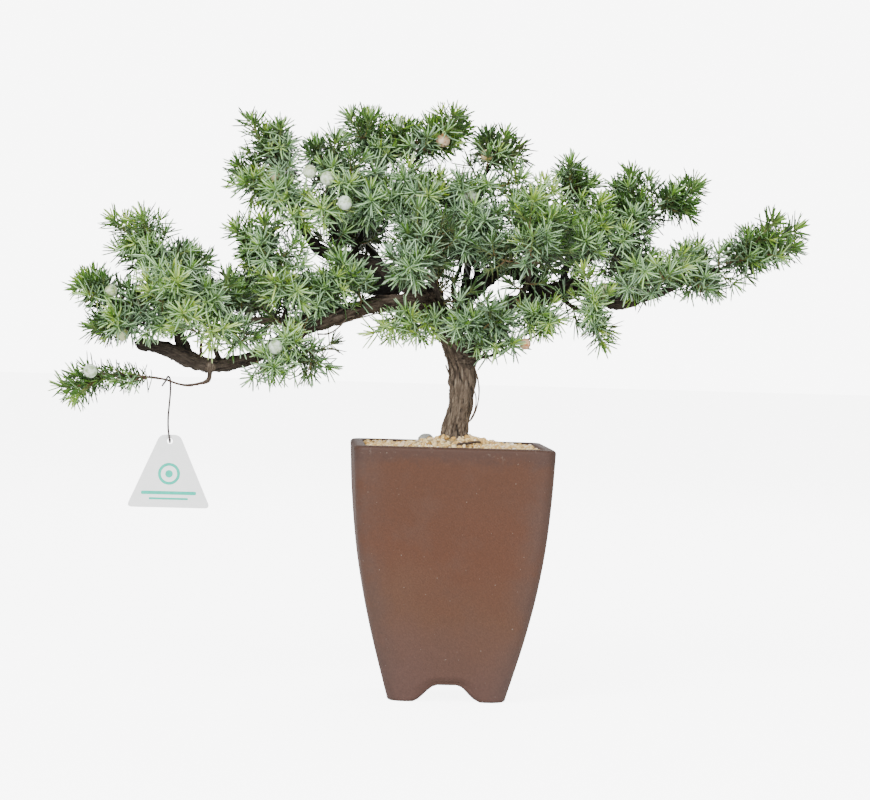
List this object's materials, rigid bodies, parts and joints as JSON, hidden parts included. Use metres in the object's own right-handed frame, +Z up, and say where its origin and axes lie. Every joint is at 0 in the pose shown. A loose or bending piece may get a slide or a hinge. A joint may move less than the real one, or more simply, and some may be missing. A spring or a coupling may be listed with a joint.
{
  "type": "bonsai tree in a pot",
  "caption": "Needle juniper bonsai with spreading branches, bristly needle sprays and berry-like cones, in a tall square stoneware pot with gravel and a hanging label",
  "frame": {"origin": "on the surface that the pot's feet stand on, under the middle of the plant's outline seen from above", "axes": "+X runs along the two long branches, to the right of the front view; -Y faces the front of the tree, where the label hangs on the left; +Z is up"},
  "size_m": [0.4232, 0.1458, 0.3386],
  "materials": {
    "clay": "matt unglazed stoneware",
    "black_plastic": "matt",
    "grit": "rough",
    "soil": "crumbly",
    "gravel": "rough",
    "grey_stone": "rough",
    "dead_twig": "weathered",
    "bark": "fissured bark",
    "needles": "waxy needles",
    "cones": "waxy bloom",
    "label": "satin",
    "wire": "dull"
  },
  "bodies": {
    "root": {"cone_crown_front": "cones", "cone_crown_left": "cones", "cone_crown_middle": "cones", "cone_crown_right": "cones", "cone_left": "cones", "cone_under_branch": "cones", "drainage_grit": "grit", "drainage_mesh": "black_plastic", "fallen_twig": "dead_twig", "grey_stone": "grey_stone", "hang_tag": "label", "pot": "clay", "soil": "soil", "spray_centre_back": "needles", "spray_centre_dark": "needles", "spray_centre_fan": "needles", "spray_column_low": "needles", "spray_column_top": "needles", "spray_crown_back": "needles", "spray_crown_centre": "needles", "spray_crown_heart": "needles", "spray_crown_knot": "needles", "spray_crown_left_edge": "needles", "spray_crown_left_top": "needles", "spray_crown_mid": "needles", "spray_crown_mid_left": "needles", "spray_crown_right_top": "needles", "spray_crown_top": "needles", "spray_far_right": "needles", "spray_front_fan": "needles", "spray_front_right_low": "needles", "spray_hanging": "needles", "spray_left_back": "needles", "spray_left_back_low": "needles", "spray_left_crest": "needles", "spray_left_drop": "needles", "spray_left_front": "needles", "spray_left_inner": "needles", "spray_left_lower_tip": "needles", "spray_left_ridge": "needles", "spray_left_tip": "needles", "spray_left_top": "needles", "spray_left_under": "needles", "spray_main_under": "needles", "spray_middle": "needles", "spray_right_back": "needles", "spray_right_branch_tip": "needles", "spray_right_column": "needles", "spray_right_end_back": "needles", "spray_right_flank": "needles", "spray_right_head": "needles", "spray_right_low": "needles", "spray_right_outer": "needles", "spray_right_rosette": "needles", "spray_right_shelf": "needles", "spray_right_spire": "needles", "spray_tag_sprig": "needles", "tag_wire": "wire", "top_gravel": "gravel", "tree_wood": "bark"}
  },
  "joints": []
}
